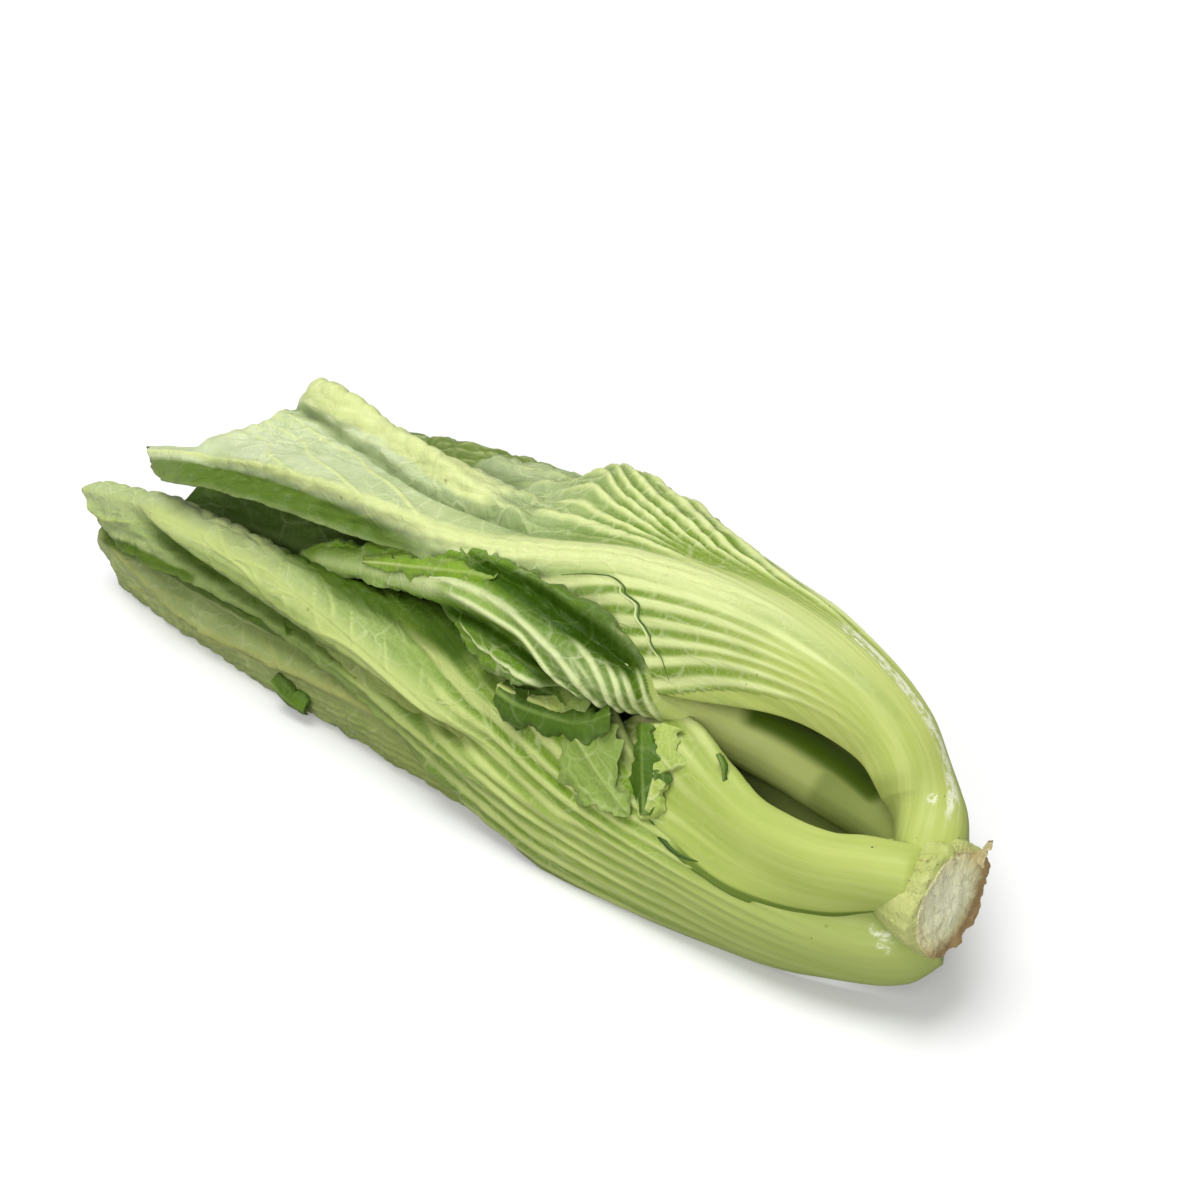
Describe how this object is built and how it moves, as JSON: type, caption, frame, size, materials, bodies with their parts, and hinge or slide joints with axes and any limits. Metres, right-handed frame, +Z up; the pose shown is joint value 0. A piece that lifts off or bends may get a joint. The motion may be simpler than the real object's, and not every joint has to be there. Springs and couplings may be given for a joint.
{
  "type": "mustard greens",
  "caption": "Whole head of mustard greens as picked, lying on its side: thick ribbed petioles rising from a cut stem into long, cupped, loosely folded leaves.",
  "frame": {"origin": "middle of the head's footprint on the surface it lies on", "axes": "+X along the head towards the cut end of the stem, +Z up, +Y to the head's left seen from the leaf tips"},
  "size_m": [0.3973, 0.1187, 0.1031],
  "materials": {
    "stem": "satin",
    "outer_leaf": "satin",
    "inner_leaf": "satin"
  },
  "bodies": {
    "root": {"stem_core": "stem", "leaf_top": "outer_leaf", "leaf_front": "outer_leaf", "leaf_bottom": "outer_leaf", "leaf_inner": "inner_leaf", "leaf_under": "outer_leaf", "leaf_back_upper": "outer_leaf", "leaf_back_lower": "outer_leaf", "leaf_base": "outer_leaf", "leaf_heart_1": "inner_leaf", "leaf_heart_2": "inner_leaf", "leaf_heart_3": "inner_leaf"}
  },
  "joints": []
}
